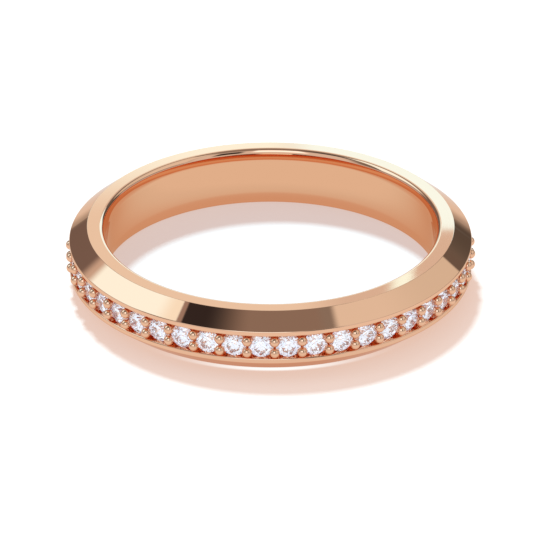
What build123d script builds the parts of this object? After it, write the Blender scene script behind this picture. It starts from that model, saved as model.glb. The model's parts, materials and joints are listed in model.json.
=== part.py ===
from build123d import *
import os
from math import cos, degrees, isclose, radians, sin, sqrt, tan

# A knife-edge wedding band with a channel along the front half of its ridge.
# Small round brilliants lie in the channel, and each neighbouring two share a pair
# of round beads that stand up from the channel's floor and hold them down.
#
# Millimetres. +Z is the ring's axis, and the origin is on it at mid-width.
# The row of stones is centred on -Y. Radii are measured from the ring's axis.

# ---- the band ----
bore_radius = 8.25
band_width = 3.12
side_flat_radius = 9.17
ridge_radius = 10.07
ridge_width = 1.69
bore_rounding_radial = 0.30
bore_rounding_axial = 0.26
edge_softening = 0.03

# ---- the row ----
stone_count = 24
row_span = 183.0
row_middle = -90.0
channel_width = 1.20
channel_floor_radius = 9.45
channel_end_margin = 0.40
channel_corner_radius = 0.30
bead_radius = 0.24
bead_circle_radius = 10.02
bead_offset = 0.30
stem_radius = 0.15
stem_root = 0.05
seat_clearance = 0.01

# ---- one stone: a round brilliant, in proportion to its diameter ----
stone_diameter = 1.20
girdle_circle_radius = 9.83
girdle_thickness = 0.03 * stone_diameter
girdle_flats = 32
table_ratio = 0.57
crown_angle = 34.5
pavilion_angle = 40.8
star_length = 0.50
lower_half_length = 0.77
turn_per_stone = 17.0

# ---- worked out from the above ----
half_width = band_width / 2
half_ridge = ridge_width / 2
pitch = row_span / stone_count
row_start = row_middle - row_span / 2
stone_radius = stone_diameter / 2
half_girdle = girdle_thickness / 2
table_radius = table_ratio * stone_radius
crown_height = half_girdle + (stone_radius - table_radius) * tan(radians(crown_angle))
pavilion_depth = half_girdle + stone_radius * tan(radians(pavilion_angle))
stem_length = bead_circle_radius - channel_floor_radius + stem_root
channel_margin_angle = degrees(channel_end_margin / channel_floor_radius)
channel_span = row_span + 2 * channel_margin_angle

# Round the girdle, the main facets' corners come every 45 degrees, with the stars halfway.
main_count = 8
main_step = 360 / main_count
half_step = main_step / 2

os.makedirs("parts", exist_ok=True)


def gem_point(radius, azimuth, height):
    """A point of the stone, whose axis is +X with the table outermost."""
    return Vector(height, radius * cos(radians(azimuth)), radius * sin(radians(azimuth)))


def facet(first, second, third):
    """The plane through three of the stone's points, facing away from its middle."""
    normal = (second - first).cross(third - first).normalized()
    if normal.dot(first) < 0:
        normal = -normal
    return Plane(origin=first, x_dir=(second - first), z_dir=normal)


def facet_meeting_point(radius, slope_angle, side):
    """Where two neighbouring main facets meet at a radius: side is 1 on the crown, -1 below."""
    drop = (stone_radius - radius * cos(radians(half_step))) * tan(radians(slope_angle))
    return radius, side * (half_girdle + drop)


# The crown's facets meet between the table's edge and the girdle, and the pavilion's
# between the culet and the girdle.
table_edge_radius = table_radius * cos(radians(half_step))
star_radius = table_edge_radius + star_length * (stone_radius - table_edge_radius)
star_radius, star_height = facet_meeting_point(star_radius, crown_angle, 1)
lower_radius, lower_height = facet_meeting_point(
    stone_radius * (1 - lower_half_length), pavilion_angle, -1
)


def facets_of_one_eighth(azimuth):
    """The seven facets of one eighth of the stone, whose main facets face this azimuth."""
    before = azimuth - half_step
    after = azimuth + half_step
    table_corner = gem_point(table_radius, azimuth, crown_height)
    next_table_corner = gem_point(table_radius, azimuth + main_step, crown_height)
    culet = gem_point(0, 0, -pavilion_depth)
    star_before = gem_point(star_radius, before, star_height)
    star_after = gem_point(star_radius, after, star_height)
    lower_before = gem_point(lower_radius, before, lower_height)
    lower_after = gem_point(lower_radius, after, lower_height)
    planes = [
        facet(table_corner, star_before, star_after),
        facet(table_corner, next_table_corner, star_after),
        facet(culet, lower_before, lower_after),
    ]
    for side, star, lower in ((before, star_before, lower_before), (after, star_after, lower_after)):
        upper_edge = gem_point(stone_radius, side, half_girdle)
        upper_main = gem_point(stone_radius, azimuth, half_girdle)
        lower_edge = gem_point(stone_radius, side, -half_girdle)
        lower_main = gem_point(stone_radius, azimuth, -half_girdle)
        planes.append(facet(star, upper_edge, upper_main))
        planes.append(facet(lower, lower_edge, lower_main))
    return planes


# ---- the pattern of every stone: 57 facets and a faceted girdle ----
with BuildPart() as brilliant:
    with BuildSketch(Plane.YZ.offset(-pavilion_depth)):
        RegularPolygon(stone_radius, girdle_flats)
    extrude(amount=pavilion_depth + crown_height)
    for index in range(main_count):
        for facet_plane in facets_of_one_eighth(index * main_step):
            split(bisect_by=facet_plane, keep=Keep.BOTTOM)


# ---- the space that one stone needs, with its clearance ----
with BuildPart() as seat_cutter:
    with BuildSketch(Plane.XY):
        with BuildLine():
            Polyline(
                (-pavilion_depth - seat_clearance, 0),
                (lower_height - seat_clearance, lower_radius + seat_clearance),
                (-half_girdle - seat_clearance, stone_radius + seat_clearance),
                (half_girdle + seat_clearance, stone_radius + seat_clearance),
                (star_height + seat_clearance, star_radius + seat_clearance),
                (crown_height + seat_clearance, table_radius + seat_clearance),
                (crown_height + seat_clearance, 0),
                close=True,
            )
        make_face()
    revolve(axis=Axis.X)


# ---- one bead: a ball on a short round stem, standing out along +X ----
neck_reach = sqrt(bead_radius**2 - stem_radius**2)
with BuildPart() as bead:
    with BuildSketch(Plane.XY):
        with BuildLine():
            ball_outline = ThreePointArc(
                (-neck_reach, stem_radius), (0, bead_radius), (bead_radius, 0)
            )
            Polyline(ball_outline @ 1, (-stem_length, 0), (-stem_length, stem_radius), ball_outline @ 0)
        make_face()
    revolve(axis=Axis.X)


def bead_pair(stone_sides):
    """Two beads across the channel, facing +X, each cut to the stones beside it."""
    with BuildPart() as pair:
        with Locations((bead_circle_radius, 0, bead_offset)):
            add(bead.part)
        for side in stone_sides:
            with PolarLocations(girdle_circle_radius, 1, side * pitch / 2):
                add(seat_cutter.part, mode=Mode.SUBTRACT)
        mirror(about=Plane.XY)
    return pair.part


# ---- the band: one casting, with its channel, seats, stems and beads ----
with BuildPart() as band:
    with BuildSketch(Plane.XZ):
        with BuildLine():
            upper_centre = (bore_radius + bore_rounding_radial, half_width - bore_rounding_axial)
            lower_centre = (upper_centre[0], -upper_centre[1])
            upper_rounding = EllipticalCenterArc(
                upper_centre, bore_rounding_radial, bore_rounding_axial, start_angle=90, arc_size=90
            )
            lower_rounding = EllipticalCenterArc(
                lower_centre, bore_rounding_radial, bore_rounding_axial, start_angle=180, arc_size=90
            )
            Line(upper_rounding @ 1, lower_rounding @ 0)
            Polyline(
                lower_rounding @ 1,
                (side_flat_radius, -half_width),
                (ridge_radius, -half_ridge),
                (ridge_radius, half_ridge),
                (side_flat_radius, half_width),
                upper_rounding @ 0,
            )
        section = make_face()
        outer_corners = section.vertices().filter_by(lambda corner: corner.X > upper_centre[0] + 0.1)
        fillet(outer_corners, edge_softening)
    revolve(axis=Axis.Z)

    with BuildSketch(Plane.XZ.rotated((0, 0, row_start - channel_margin_angle))):
        with Locations((ridge_radius, 0)):
            Rectangle(2 * (ridge_radius - channel_floor_radius), channel_width)
    revolve(axis=Axis.Z, revolution_arc=channel_span, mode=Mode.SUBTRACT)
    wall_edges = band.edges().filter_by(lambda edge: isclose(abs(edge.center().Z), channel_width / 2))
    fillet(wall_edges.filter_by(GeomType.LINE), channel_corner_radius)

    with PolarLocations(girdle_circle_radius, stone_count, row_start + pitch / 2, row_span):
        add(seat_cutter.part, mode=Mode.SUBTRACT)

    with PolarLocations(0, stone_count - 1, row_start + pitch, row_span - pitch):
        add(bead_pair(stone_sides=(-1, 1)))
    with PolarLocations(0, 1, row_start):
        add(bead_pair(stone_sides=(1,)))
    with PolarLocations(0, 1, row_start + row_span):
        add(bead_pair(stone_sides=(-1,)))

band.part.label = "band"
export_step(band.part, "parts/band.step")


# ---- the stones, each turned a little further than the one before ----
stone_places = PolarLocations(girdle_circle_radius, stone_count, row_start + pitch / 2, row_span)
for number, place in enumerate(stone_places, start=1):
    with BuildPart() as diamond:
        with Locations(place):
            add(brilliant.part, rotation=(number * turn_per_stone, 0, 0))
    diamond.part.label = f"diamond_{number:02d}"
    export_step(diamond.part, f"parts/{diamond.part.label}.step")
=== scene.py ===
"""A rose-gold knife-edge wedding band with a row of round brilliants, lying on a white surface."""

import json
from math import asin, atan2, cos, degrees, pi, radians, sin, sqrt, tan

import bmesh
import bpy
import numpy as np
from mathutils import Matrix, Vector


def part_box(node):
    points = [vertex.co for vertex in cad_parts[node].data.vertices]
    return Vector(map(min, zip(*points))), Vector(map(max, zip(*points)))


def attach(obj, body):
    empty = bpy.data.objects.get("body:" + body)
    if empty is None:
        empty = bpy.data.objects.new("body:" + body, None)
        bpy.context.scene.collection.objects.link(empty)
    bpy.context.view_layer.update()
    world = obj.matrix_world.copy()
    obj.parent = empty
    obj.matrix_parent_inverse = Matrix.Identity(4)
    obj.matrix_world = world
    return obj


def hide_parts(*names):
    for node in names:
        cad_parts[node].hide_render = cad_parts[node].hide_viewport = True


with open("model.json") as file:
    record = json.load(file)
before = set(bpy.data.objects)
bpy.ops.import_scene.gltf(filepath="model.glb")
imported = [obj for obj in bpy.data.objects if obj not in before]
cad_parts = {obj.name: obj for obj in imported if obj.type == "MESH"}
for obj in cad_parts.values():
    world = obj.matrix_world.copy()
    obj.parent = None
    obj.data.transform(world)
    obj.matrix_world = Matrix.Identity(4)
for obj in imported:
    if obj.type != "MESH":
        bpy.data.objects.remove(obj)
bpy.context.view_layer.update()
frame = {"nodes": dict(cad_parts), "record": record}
MM = 0.001

# ---- sizes that come from the frame, in millimetres ----
bore_mount = next(m for m in frame["record"]["mounts"] if m["name"] == "finger_bore")
stone_names = sorted(name for name in frame["nodes"] if name.startswith("diamond_"))
band_low, band_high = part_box("band")
half_width = band_high[2] / MM
ridge_radius = band_high[1] / MM
bead_top_radius = -band_low[1] / MM
bore_radius = bore_mount["dims"]["r_mm"]

# ---- the part's own driving dimensions, in millimetres and degrees ----
side_flat_radius = 9.17
half_ridge = 0.845
bore_rounding_radial = 0.30
channel_half = 0.60
channel_floor_radius = 9.45
channel_end_margin = 0.40
channel_corner_radius = 0.30
row_span = 183.0
row_middle = -90.0
bead_offset = 0.30
stem_radius = 0.15
girdle_circle_radius = 9.83
# A stone with its clearance, from the culet up: (height above the girdle, distance from its axis).
stone_profile = (
    (-0.546, 0.0),
    (-0.436, 0.148),
    (-0.028, 0.61),
    (0.028, 0.61),
    (0.149, 0.468),
    (0.205, 0.352),
)

# ---- sizes of the looks alone, in millimetres and degrees ----
edge_softening = 0.05
ridge_softening = 0.08
rim_rounding = 0.07
channel_foot_rounding = 0.05
flare_start = 0.96
flare_end = 1.338
flare_blend = 0.12
flare_tilts = (8.0, 13.0)
corner_fade = 6.0
bead_radius = 0.25
bead_neck_blend = 8.0
bead_neck_height = -0.21
stem_waist = 0.97
stem_root = 1.05
stem_buried = 1.25
stem_root_height = 0.05
stem_buried_depth = 0.02

# ---- how finely the curved surfaces are drawn ----
channel_columns = 489
plain_columns = 401
bead_sides = 28
bead_rings = 15

pitch = row_span / len(stone_names)
row_start = row_middle - row_span / 2
bead_circle_radius = bead_top_radius - bead_radius
channel_end_angle = row_span / 2 + degrees(channel_end_margin / channel_floor_radius)


# ---- small helpers ----
def outward(angle):
    """The unit vector that points out of the band at an angle about the ring's axis."""
    return np.array([cos(radians(angle)), sin(radians(angle)), 0.0])


def towards(azimuth, elevation):
    """The unit vector towards a place in the studio: azimuth from straight behind the ring, clockwise
    from above, and elevation from the horizon, both in degrees."""
    across = cos(radians(elevation))
    return Vector((
        sin(radians(azimuth)) * across,
        cos(radians(azimuth)) * across,
        sin(radians(elevation)),
    ))


def new_object(name, data):
    """An object of the scene that holds the given mesh, light or camera."""
    made = bpy.data.objects.new(name, data)
    bpy.context.scene.collection.objects.link(made)
    return made


def new_piece(name, points, faces, material, normals=None):
    """A smooth mesh in the row frame, from points in millimetres."""
    mesh = bpy.data.meshes.new(name)
    mesh.from_pydata([tuple(p * MM) for p in points], [], faces)
    mesh.shade_smooth()
    if normals is not None:
        mesh.normals_split_custom_set_from_vertices([tuple(n) for n in normals])
    mesh.materials.append(material)
    return new_object(name, mesh)


def arc(centre, radius, start, end, count):
    """Points and outward normals on a circle's arc in the section plane, in degrees."""
    made = []
    for angle in np.radians(np.linspace(start, end, count)):
        normal = (cos(angle), sin(angle))
        made.append((centre[0] + radius * normal[0], centre[1] + radius * normal[1], *normal))
    return made


def straight(start, end, normal, count):
    """Points strictly between two ends of a straight stretch, with its normal."""
    steps = np.linspace(0, 1, count + 2)[1:-1]
    return [(start[0] + (end[0] - start[0]) * t, start[1] + (end[1] - start[1]) * t, *normal) for t in steps]


# ---- helpers for node trees ----
def node_material(name):
    """A new material: the material, its node tree and its shader."""
    material = bpy.data.materials.new(name)
    material.use_nodes = True
    tree = material.node_tree
    return material, tree, tree.nodes["Principled BSDF"]


def math_node(tree, operation, *values):
    """A Math node whose inputs are numbers or sockets; gives its output socket."""
    node = tree.nodes.new("ShaderNodeMath")
    node.operation = operation
    for socket, value in zip(node.inputs, values):
        if isinstance(value, (int, float)):
            socket.default_value = value
        else:
            tree.links.new(value, socket)
    return node.outputs[0]


def smooth_step(tree, value, start, end):
    """A smooth step from 0 at start to 1 at end."""
    step = tree.nodes.new("ShaderNodeMapRange")
    step.interpolation_type = "SMOOTHSTEP"
    step.inputs["From Min"].default_value = start
    step.inputs["From Max"].default_value = end
    tree.links.new(value, step.inputs["Value"])
    return step.outputs[0]


def mix_colours(tree, factor, first, second):
    """A colour that goes from the first to the second as the factor goes from 0 to 1."""
    mix = tree.nodes.new("ShaderNodeMix")
    mix.data_type = "RGBA"
    for name, value in (("Factor", factor), ("A", first), ("B", second)):
        if isinstance(value, (float, tuple)):
            mix.inputs[name].default_value = value
        else:
            tree.links.new(value, mix.inputs[name])
    return mix.outputs["Result"]


def ring_coordinates(tree):
    """Sockets for a point's x, y and z and its distance from the ring's axis, in metres."""
    split = tree.nodes.new("ShaderNodeSeparateXYZ")
    tree.links.new(tree.nodes.new("ShaderNodeTexCoord").outputs["Object"], split.inputs[0])
    x, y, z = split.outputs
    squared = math_node(tree, "ADD", math_node(tree, "MULTIPLY", x, x), math_node(tree, "MULTIPLY", y, y))
    return x, y, z, math_node(tree, "SQRT", squared)


# ---- materials ----
def rose_gold():
    """Polished rose gold, with faint polishing lines that run round the ring."""
    lines_round = 2.0
    lines_across = 30000.0
    densities = (lines_round, lines_across, lines_across)
    material, tree, shader = node_material("rose_gold")
    shader.inputs["Base Color"].default_value = (0.90, 0.531, 0.344, 1)
    shader.inputs["Metallic"].default_value = 1.0
    shader.inputs["Specular Tint"].default_value = (0.90, 0.787, 0.684, 1)
    x, y, z, out = ring_coordinates(tree)
    around = math_node(tree, "ARCTAN2", y, x)
    unrolled = tree.nodes.new("ShaderNodeCombineXYZ")
    for socket, value, density in zip(unrolled.inputs, (around, out, z), densities):
        tree.links.new(math_node(tree, "MULTIPLY", value, density), socket)
    lines = tree.nodes.new("ShaderNodeTexNoise")
    lines.inputs["Scale"].default_value = 1.0
    lines.inputs["Detail"].default_value = 3.0
    tree.links.new(unrolled.outputs[0], lines.inputs["Vector"])
    gloss = tree.nodes.new("ShaderNodeMapRange")
    gloss.inputs["To Min"].default_value = 0.008
    gloss.inputs["To Max"].default_value = 0.03
    tree.links.new(lines.outputs["Fac"], gloss.inputs["Value"])
    tree.links.new(gloss.outputs[0], shader.inputs["Roughness"])
    bump = tree.nodes.new("ShaderNodeBump")
    bump.inputs["Strength"].default_value = 0.01
    bump.inputs["Distance"].default_value = 0.01 * MM
    tree.links.new(lines.outputs["Fac"], bump.inputs["Height"])
    tree.links.new(bump.outputs[0], shader.inputs["Normal"])
    return material


def diamond():
    """Colourless diamond, with the least breath of blue that varies through the stone."""
    material, tree, shader = node_material("diamond")
    shader.inputs["Roughness"].default_value = 0.0
    shader.inputs["IOR"].default_value = 2.42
    shader.inputs["Transmission Weight"].default_value = 1.0
    noise = tree.nodes.new("ShaderNodeTexNoise")
    noise.inputs["Scale"].default_value = 2500.0
    tree.links.new(tree.nodes.new("ShaderNodeTexCoord").outputs["Object"], noise.inputs["Vector"])
    tint = tree.nodes.new("ShaderNodeValToRGB")
    tint.color_ramp.elements[0].position = 0.35
    tint.color_ramp.elements[0].color = (0.86, 0.89, 1.0, 1)
    tint.color_ramp.elements[1].position = 0.6
    tint.color_ramp.elements[1].color = (1.0, 1.0, 1.0, 1)
    tree.links.new(noise.outputs["Fac"], tint.inputs[0])
    tree.links.new(tint.outputs[0], shader.inputs["Base Color"])
    return material


def painted_shadow_seen(tree, y, out, past):
    """The glow that the camera sees on the surface, which paints the shadow where the ring shades it from
    the key:
    warm outside the ring, browner inside it, and a painted line of light along the ring's front foot."""
    # Painted shadow colours near the foot, far from it and inside the ring, then a painted line of light.
    shadow_near_foot = (0.735, 0.485, 0.385, 1)
    shadow_far_from_foot = (0.80, 0.56, 0.46, 1)
    shadow_inside_ring = (0.66, 0.475, 0.42, 1)
    painted_foot_light = (0.99, 0.95, 0.93, 1)
    foot_line_radius = side_flat_radius + 0.12
    from_line = math_node(tree, "ABSOLUTE", math_node(tree, "SUBTRACT", out, foot_line_radius * MM))
    line = smooth_step(tree, from_line, 0.28 * MM, 0.05 * MM)
    front = math_node(tree, "DIVIDE", math_node(tree, "MULTIPLY", y, -1.0), out)
    front = math_node(tree, "POWER", math_node(tree, "MAXIMUM", front, 0.0), 12.0)
    # The painted shadow fades away from the foot, and the painted line of light lies along the front foot.
    seen = mix_colours(tree, smooth_step(tree, past, 2.8 * MM, 1.0 * MM), shadow_far_from_foot, shadow_near_foot)
    seen = mix_colours(tree, math_node(tree, "MULTIPLY", line, front), seen, painted_foot_light)
    return mix_colours(tree, smooth_step(tree, past, 0.1 * MM, -0.1 * MM), seen, shadow_inside_ring)


def painted_shadow_reflected(tree, past):
    """The glow that the gold reflects, with painted shade: pale far from the ring, a painted warm shadow
    beside its foot on either side, and painted darkening where it is seen at a grazing angle. Inside the
    ring the distances count for more."""
    inside_stretch = 1.7
    from_foot = math_node(tree, "MAXIMUM", past, math_node(tree, "MULTIPLY", past, -inside_stretch))
    # Painted shadow as the gold sees it: warm beside the foot, pale farther out.
    outside = mix_colours(tree, smooth_step(tree, from_foot, 2.3 * MM, 0.9 * MM),
                          (0.84, 0.848, 0.848, 1), (0.688, 0.456, 0.368, 1))
    inside = mix_colours(tree, smooth_step(tree, from_foot, 4.2 * MM, 1.0 * MM),
                         (0.776, 0.736, 0.664, 1), (0.70, 0.50, 0.385, 1))
    reflected = mix_colours(tree, smooth_step(tree, past, 0.1 * MM, -0.1 * MM), outside, inside)
    # Painted darkening where the surface is seen at a grazing angle.
    facing = tree.nodes.new("ShaderNodeLayerWeight").outputs["Facing"]
    return mix_colours(tree, smooth_step(tree, facing, 0.87, 1.0), reflected, (0.4, 0.4, 0.4, 1))


def pale_surface():
    """A pale surface that glows a little and is lit by the key. Its glow carries a painted shadow of the
    ring and a painted line of light along its foot. The camera, the gold and the light that comes through
    the stones each see their own glow."""
    material, tree, shader = node_material("pale_surface")
    shader.inputs["Roughness"].default_value = 1.0
    shader.inputs["Specular IOR Level"].default_value = 0.0
    _, y, _, out = ring_coordinates(tree)
    past = math_node(tree, "SUBTRACT", out, (side_flat_radius + bore_radius) / 2 * MM)
    rays = tree.nodes.new("ShaderNodeLightPath")
    # The glow holds painted shadow for the camera and the gold, and an even pale glow for light through the
    # stones.
    glow = mix_colours(tree, rays.outputs["Is Transmission Ray"],
                       painted_shadow_reflected(tree, past), (1.08, 1.16, 1.26, 1))
    glow = mix_colours(tree, rays.outputs["Is Camera Ray"], glow, painted_shadow_seen(tree, y, out, past))
    tree.links.new(glow, shader.inputs["Emission Color"])
    shader.inputs["Emission Strength"].default_value = 1.0
    lit = mix_colours(tree, rays.outputs["Is Camera Ray"], (0.02, 0.02, 0.02, 1), (0.125, 0.20, 0.225, 1))
    tree.links.new(lit, shader.inputs["Base Color"])
    # From underneath the surface is clear, so that the object's underside can be seen.
    one_sided = tree.nodes.new("ShaderNodeMixShader")
    tree.links.new(tree.nodes.new("ShaderNodeNewGeometry").outputs["Backfacing"], one_sided.inputs[0])
    tree.links.new(shader.outputs[0], one_sided.inputs[1])
    tree.links.new(tree.nodes.new("ShaderNodeBsdfTransparent").outputs[0], one_sided.inputs[2])
    tree.links.new(one_sided.outputs[0], tree.nodes["Material Output"].inputs["Surface"])
    return material


gold = rose_gold()
clear = diamond()


# ---- the band ----
# A section is a list of (R, z, normal R, normal z), with R measured from the ring's axis.
def bore_edge():
    """The bore's wall from its middle to the flat: straight, then a gentle flare, then a small rounding."""
    section = [(bore_radius, z, -1, 0) for z in (0.0, flare_start / 2, flare_start - flare_blend)]
    r = bore_radius
    heights = np.linspace(flare_start, flare_end, 6)
    tilts = np.radians(np.linspace(*flare_tilts, len(heights)))
    for index, (z, tilt) in enumerate(zip(heights, tilts)):
        if index:
            r += (z - heights[index - 1]) * tan((tilt + tilts[index - 1]) / 2)
        section.append((r, z, -cos(tilt), sin(tilt)))
    # The rounding is a cubic curve that leaves along the flare and arrives along the flat.
    start = np.array([r, flare_end])
    end = np.array([bore_radius + bore_rounding_radial, half_width])
    reach = (end[1] - start[1]) * 0.55
    first = start + reach * np.array([sin(tilts[-1]), cos(tilts[-1])])
    second = end - reach * np.array([1.0, 0.0])
    for t in np.linspace(0, 1, 11)[1:]:
        point = (1 - t)**3 * start + 3 * t * (1 - t)**2 * first + 3 * t**2 * (1 - t) * second + t**3 * end
        along = (1 - t)**2 * (first - start) + 2 * t * (1 - t) * (second - first) + t**2 * (end - second)
        along /= np.linalg.norm(along)
        section.append((*point, -along[1], along[0]))
    return section


def outer_section():
    """The upper half of the section, from the bore's middle to the ridge."""
    slope = atan2(half_width - half_ridge, ridge_radius - side_flat_radius)
    cone_normal = (sin(slope), cos(slope))
    cone_angle = 90 - degrees(slope)
    # The two outer corners are arcs that are tangent to both sides.
    reach = edge_softening * tan(slope / 2)
    centre = (side_flat_radius - reach, half_width - edge_softening)
    flat_corner = arc(centre, edge_softening, 90, cone_angle, 6)
    reach = ridge_softening * tan(radians(cone_angle) / 2)
    centre = (ridge_radius - ridge_softening, half_ridge - reach)
    ridge_corner = arc(centre, ridge_softening, cone_angle, 0, 6)
    section = bore_edge()
    section += straight(section[-1][:2], flat_corner[0][:2], (0, 1), 2)
    section += flat_corner
    section += straight(flat_corner[-1][:2], ridge_corner[0][:2], cone_normal, 3)
    section += ridge_corner
    return section


def channel_section():
    """The same half from the ridge to mid-channel: each row's place in the channel, and where it lies on
    the plain ridge past the channel's ends."""
    rows = []
    rim_centre = (ridge_radius - rim_rounding, channel_half + rim_rounding)
    for r, z, nr, nz in arc(rim_centre, rim_rounding, 0, -90, 6):
        rows.append(((r, z, nr, nz), (ridge_radius, z, 1, 0)))
    foot = channel_foot_rounding
    wall_end = channel_floor_radius + foot
    for r in np.linspace(ridge_radius - rim_rounding, wall_end, 5)[1:-1]:
        rows.append(((r, channel_half, 0, -1), (ridge_radius, channel_half, 1, 0)))
    for angle in np.radians((0, 45, 90)):
        r = wall_end - foot * sin(angle)
        z = channel_half - foot * (1 - cos(angle))
        rows.append(((r, z, sin(angle), -cos(angle)), (ridge_radius, z, 1, 0)))
    for z in np.linspace(channel_half - foot, 0, 10)[1:]:
        rows.append(((channel_floor_radius, z, 1, 0), (ridge_radius, z, 1, 0)))
    return rows


def seat_depth(angle, z):
    """How far a stone's drilled seat goes below the channel's floor at a place."""
    from_row_start = angle - row_start
    nearest = (np.floor(from_row_start / pitch) + 0.5) * pitch
    if not 0 < nearest < row_span:
        return 0.0
    sideways = channel_floor_radius * sin(radians(from_row_start - nearest))
    floor_height = channel_floor_radius - girdle_circle_radius
    rim = np.interp(floor_height, *zip(*stone_profile))
    deepest = floor_height - stone_profile[0][0]
    return max(0.0, 1 - sqrt(sideways**2 + z**2) / rim) * deepest


def end_offset(z):
    """How far the channel's rounded corner pulls its end wall in at a height, in degrees."""
    into_corner = max(0.0, abs(z) - (channel_half - channel_corner_radius))
    into_corner = min(into_corner, channel_corner_radius)
    pull = channel_corner_radius - sqrt(channel_corner_radius**2 - into_corner**2)
    return degrees(pull / ridge_radius)


def ring_columns():
    """Angles from the row's middle, each with whether the channel is cut there. Each end of the channel
    has two columns at the same angle, one cut and one plain, and they make the channel's end wall."""
    end = channel_end_angle
    columns = [(angle, True) for angle in np.linspace(-end, end, channel_columns)]
    columns += [(angle, False) for angle in np.linspace(end, 360 - end, plain_columns)]
    return columns


def make_band():
    """The band's metal without the beads: its points, faces and normals."""
    outer = outer_section()
    upper = [(row, row) for row in outer] + channel_section()
    lower = [tuple((r, -z, nr, -nz) for r, z, nr, nz in row) for row in upper[1:-1]]
    rows = upper + lower[::-1]
    channel_rows = range(len(outer), len(rows) - len(outer) + 1)
    columns = ring_columns()
    points, normals = [], []
    for angle, cut in columns:
        from_end = min(abs(abs(angle) - channel_end_angle), abs(360 - channel_end_angle - angle))
        fade = max(0.0, 1 - from_end / corner_fade)
        side = 1 if 0 < angle <= 180 else -1
        for index, (in_channel, on_ridge) in enumerate(rows):
            r, z, nr, nz = in_channel if cut else on_ridge
            turned = angle
            if index in channel_rows:
                turned -= side * end_offset(z) * fade
            direction = outward(row_middle + turned)
            if cut and r == channel_floor_radius:
                r -= seat_depth(row_middle + turned, z)
            points.append(direction * r + np.array([0, 0, z]))
            normals.append(direction * nr + np.array([0, 0, nz]))
    return weld(points, normals, len(columns), len(rows))


def weld(points, normals, columns, rows):
    """Joins a closed grid's equal points, and leaves out the faces that have no area."""
    points = np.array(points)
    _, first, index = np.unique(np.round(points, 6), axis=0, return_index=True, return_inverse=True)
    index = index.reshape(-1)
    faces = []
    for column in range(columns):
        after = (column + 1) % columns
        for row in range(rows):
            below = (row + 1) % rows
            corners = [column * rows + row, column * rows + below, after * rows + below, after * rows + row]
            corners = [int(index[c]) for c in corners]
            face = [c for i, c in enumerate(corners) if c != corners[i - 1]]
            if len(set(face)) > 2:
                faces.append(face)
    return points[first], faces, np.array(normals)[first]


band_points, band_faces, band_normals = make_band()
band = new_piece("band_metal", band_points, band_faces, gold, band_normals)
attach(band, "root")
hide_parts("band")


# ---- the beads ----
def bead_outline():
    """A bead on its stem, from its top down to the channel's floor: (distance from its axis, height)."""
    neck_angle = 180 - degrees(asin(stem_radius / bead_radius)) - bead_neck_blend
    turns = np.radians(np.linspace(0, neck_angle, bead_rings))
    ball = [(bead_radius * sin(turn), bead_radius * cos(turn)) for turn in turns]
    foot = channel_floor_radius - bead_circle_radius
    stem = [
        (stem_radius, bead_neck_height),
        (stem_radius * stem_waist, (foot + bead_neck_height) / 2),
        (stem_radius * stem_root, foot + stem_root_height),
        (stem_radius * stem_buried, foot - stem_buried_depth),
    ]
    return ball + stem


def clear_of_stones(point):
    """Moves a bead's point out of the nearest stone's seat, where the metal was cut for it."""
    heights, radii = zip(*stone_profile)
    angle = degrees(atan2(point[1], point[0]))
    if angle > 90:
        angle -= 360
    number = np.floor((angle - row_start) / pitch)
    if not 0 <= number < len(stone_names):
        return point
    axis = outward(row_start + (number + 0.5) * pitch)
    height = float(point @ axis) - girdle_circle_radius
    across = point - axis * float(point @ axis)
    distance = float(np.linalg.norm(across))
    if not heights[0] < height < heights[-1]:
        return point
    limit = float(np.interp(height, heights, radii))
    if distance >= limit or distance < 1e-9:
        return point
    return point + across / distance * (limit - distance)


def make_beads():
    """Every bead and its stem as one closed skin each: the points and the faces."""
    outline = bead_outline()
    points, faces = [], []
    for number in range(len(stone_names) + 1):
        direction = outward(row_start + number * pitch)
        along = np.cross([0, 0, 1], direction)
        for offset in (-bead_offset, bead_offset):
            centre = direction * bead_circle_radius + np.array([0, 0, offset])
            start = len(points)
            points.append(centre + direction * outline[0][1])
            for distance, height in outline[1:]:
                for side in range(bead_sides):
                    turn = 2 * pi * side / bead_sides
                    spoke = along * cos(turn) + np.array([0, 0, 1]) * sin(turn)
                    points.append(clear_of_stones(centre + direction * height + spoke * distance))
            last = start + 1 + (len(outline) - 2) * bead_sides
            for side in range(bead_sides):
                after = (side + 1) % bead_sides
                faces.append((start, start + 1 + side, start + 1 + after))
                for ring in range(len(outline) - 2):
                    low = start + 1 + ring * bead_sides
                    high = low + bead_sides
                    faces.append((low + side, high + side, high + after, low + after))
            faces.append(tuple(range(last + bead_sides - 1, last - 1, -1)))
    return points, faces


beads = new_piece("beads", *make_beads(), gold)
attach(beads, "root")
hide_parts("band")


# ---- the stones ----
def make_stone(name):
    """A stone with the CAD's own facets, joined into one closed skin."""
    mesh = frame["nodes"][name].data.copy()
    mesh.name = name + "_cut"
    build = bmesh.new()
    build.from_mesh(mesh)
    bmesh.ops.remove_doubles(build, verts=build.verts, dist=0.0005 * MM)
    build.to_mesh(mesh)
    build.free()
    mesh.shade_flat()
    mesh.materials.clear()
    mesh.materials.append(clear)
    piece = new_object(name + "_cut", mesh)
    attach(piece, "root")
    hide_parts(name)


for stone_name in stone_names:
    make_stone(stone_name)


# ---- the surface it lies on ----
def make_surface():
    """A wide square just under the band's lower flat."""
    half = 0.6
    height = band_low[2] - 0.01 * MM
    corners = ((-half, -half), (half, -half), (half, half), (-half, half))
    mesh = bpy.data.meshes.new("surface")
    mesh.from_pydata([(x, y, height) for x, y in corners], [], [(0, 1, 2, 3)])
    mesh.materials.append(pale_surface())
    return new_object("surface", mesh)


floor = make_surface()


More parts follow.
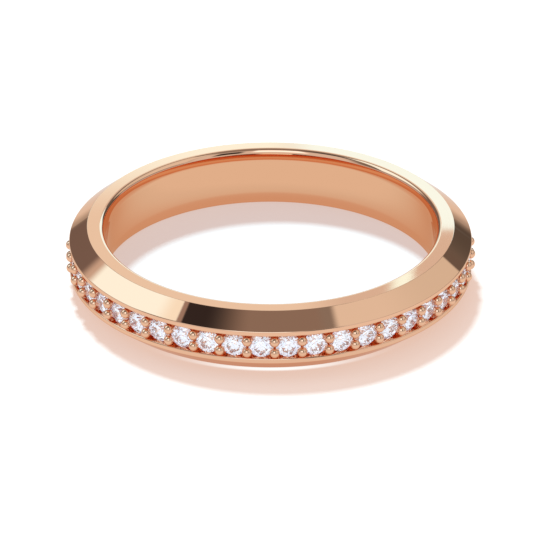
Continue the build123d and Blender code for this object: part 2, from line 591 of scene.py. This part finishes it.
# ---- the studio: soft light panels all round, as the world's own light ----
# A panel is its name, its azimuths, its elevations and its brightness in red, green and blue. The
# angles are those of towards(), turned by studio_turn, each as low edge, softness, high edge and
# softness. A later panel covers an earlier one.
ALL_ROUND = None
PANELS = (
    ("horizon_glow", ALL_ROUND, (-95, 1, 0, 4), (0.64, 0.64, 0.64)),
    ("back_wall", (-22, 4, 22, 4), (10, 3, 60, 4), (0.928, 1.024, 1.056)),
    ("back_low_left", (-28, 2, 0.4, 0.4), (6, 1.5, 26.65, 0.5), (1.136, 1.68, 2.0)),
    ("back_low_right", (0.4, 0.4, 28, 2), (6, 1.5, 27.31, 0.03), (1.088, 1.8, 2.36)),
    ("back_high_right", (0.9, 0.5, 22, 3), (27.31, 0.03, 40, 2), (0.784, 0.8, 0.824)),
    ("back_bar", (2.02, 0.12, 2.36, 0.03), (27.31, 0.03, 34, 1), (1.12, 1.76, 2.08)),
    ("back_foot", (-20, 2, 20, 2), (-1, 1, 7, 1.5), (0.96, 1.12, 1.2)),
    ("left_low", (-60, 8, -15, 8), (0, 3, 30, 5), (0.2, 0.18, 0.188)),
    ("left_panel_rim", (-98, 0.8, -48.8, 2.4), (17, 4, 62, 3), (0.64, 0.624, 0.624)),
    ("left_panel", (-98, 0.8, -53.5, 2.2), (22, 4, 62, 3), (1.12, 1.616, 1.92)),
    ("left_panel_fall", (-98, 0.8, -90, 5), (40, 4, 62, 3), (1.056, 1.32, 1.4)),
    ("left_panel_frame", (-100.8, 0.6, -98, 0.8), (46, 2, 70, 2), (0.368, 0.32, 0.32)),
    ("right_low", (42, 3, 60, 5), (12, 5, 40, 5), (0.16, 0.15, 0.148)),
    ("right_panel", (47.8, 0.8, 121, 0.6), (18, 1, 66, 1), (0.832, 0.88, 0.88)),
    ("right_panel_fall", (47.8, 0.8, 76, 14), (18, 1, 66, 1), (0.752, 0.8, 0.784)),
    ("front_low", (60, 4, 300, 4), (-1, 2, 14, 4), (0.56, 0.56, 0.6)),
    ("front_panel", (120, 8, 240, 8), (2, 3, 54, 4), (0.76, 0.8, 0.84)),
    ("front_key", (168, 3, 206, 3), (24, 3, 56, 3), (1.36, 1.72, 2.0)),
    ("front_flag", (140, 3, 160, 3), (16, 4, 46, 4), (0.048, 0.048, 0.048)),
    ("overhead", (125, 5, 235, 5), (60, 3, 95, 1), (0.284, 0.26, 0.252)),
    ("overhead_flag", (-135, 22, -100.8, 0.6), (50, 2, 78, 4), (0.036, 0.033, 0.038)),
)
studio_turn = 1.09
low_brightness = 0.112
high_brightness = 0.276
brightness_rise = (8, 40)
stone_softening = 0.68
stone_white = (1.12, 1.2, 1.3, 1)
backdrop_white = (1.02, 1.02, 1.02, 1)


def window(tree, value, low, low_soft, high, high_soft):
    """1 between two angles and 0 outside them, each edge with its own softness, in degrees."""
    half = (high - low) / 2
    moved = math_node(tree, "SUBTRACT", value, (low + high) / 2)
    moved = math_node(tree, "WRAP", moved, 180.0, -180.0)
    rising = smooth_step(tree, moved, -half - low_soft, -half + low_soft)
    falling = smooth_step(tree, moved, half + high_soft, half - high_soft)
    return math_node(tree, "MULTIPLY", rising, falling)


def build_world():
    """The gold sees the panels as they are, light that comes through the stones sees them softened
    towards white, and the camera sees a plain white backdrop."""
    world = bpy.data.worlds.new("studio")
    bpy.context.scene.world = world
    world.use_nodes = True
    tree = world.node_tree
    split = tree.nodes.new("ShaderNodeSeparateXYZ")
    tree.links.new(tree.nodes.new("ShaderNodeTexCoord").outputs["Generated"], split.inputs[0])
    x, y, z = split.outputs
    azimuth = math_node(tree, "MULTIPLY", math_node(tree, "ARCTAN2", x, y), 180 / pi)
    azimuth = math_node(tree, "SUBTRACT", azimuth, studio_turn)
    elevation = math_node(tree, "MULTIPLY", math_node(tree, "ARCSINE", z), 180 / pi)
    rise = smooth_step(tree, elevation, *brightness_rise)
    colour = math_node(tree, "MULTIPLY_ADD", rise, high_brightness - low_brightness, low_brightness)
    for name, azimuths, elevations, brightness in PANELS:
        mask = window(tree, elevation, *elevations)
        if azimuths is not ALL_ROUND:
            mask = math_node(tree, "MULTIPLY", mask, window(tree, azimuth, *azimuths))
        colour = mix_colours(tree, mask, colour, (*brightness, 1))
        colour.node.label = name
    rays = tree.nodes.new("ShaderNodeLightPath")
    softened = mix_colours(tree, stone_softening, colour, stone_white)
    colour = mix_colours(tree, rays.outputs["Is Transmission Ray"], colour, softened)
    colour = mix_colours(tree, rays.outputs["Is Camera Ray"], colour, backdrop_white)
    tree.links.new(colour, tree.nodes["Background"].inputs["Color"])
    tree.nodes["Background"].inputs["Strength"].default_value = 1.0


def add_key():
    """The light that casts the ring's shadow forward. The gold and the stones don't show it."""
    light = bpy.data.lights.new("key", "SUN")
    light.energy = 9.6
    light.angle = radians(9)
    key = new_object("key", light)
    key.visible_glossy = False
    key.visible_transmission = False
    key.rotation_euler = towards(-12, 52).to_track_quat("Z", "Y").to_euler()


build_world()
add_key()


# ---- the camera ----
def add_camera():
    """The camera, aimed a little to the left of the ring's middle and below it."""
    distance = 202.0 * MM
    aim_right = -0.202 * MM
    aim_up = -0.787 * MM
    lens = bpy.data.cameras.new("camera")
    lens.sensor_width = 36
    lens.lens = 272.1
    lens.clip_start = 0.01
    lens.clip_end = 10
    back = towards(181.09, 27.86)
    turn = back.to_track_quat("Z", "Y")
    camera = new_object("camera", lens)
    camera.rotation_mode = "QUATERNION"
    camera.rotation_quaternion = turn
    camera.location = back * distance + turn @ Vector((aim_right, aim_up, 0))
    return camera


bpy.context.scene.camera = add_camera()

# The stones need many bounces before the light gets out of them.
scene = bpy.context.scene
scene.view_settings.view_transform = "Standard"
scene.cycles.max_bounces = 64
scene.cycles.glossy_bounces = 40
scene.cycles.transmission_bounces = 48
scene.cycles.sample_clamp_indirect = 6
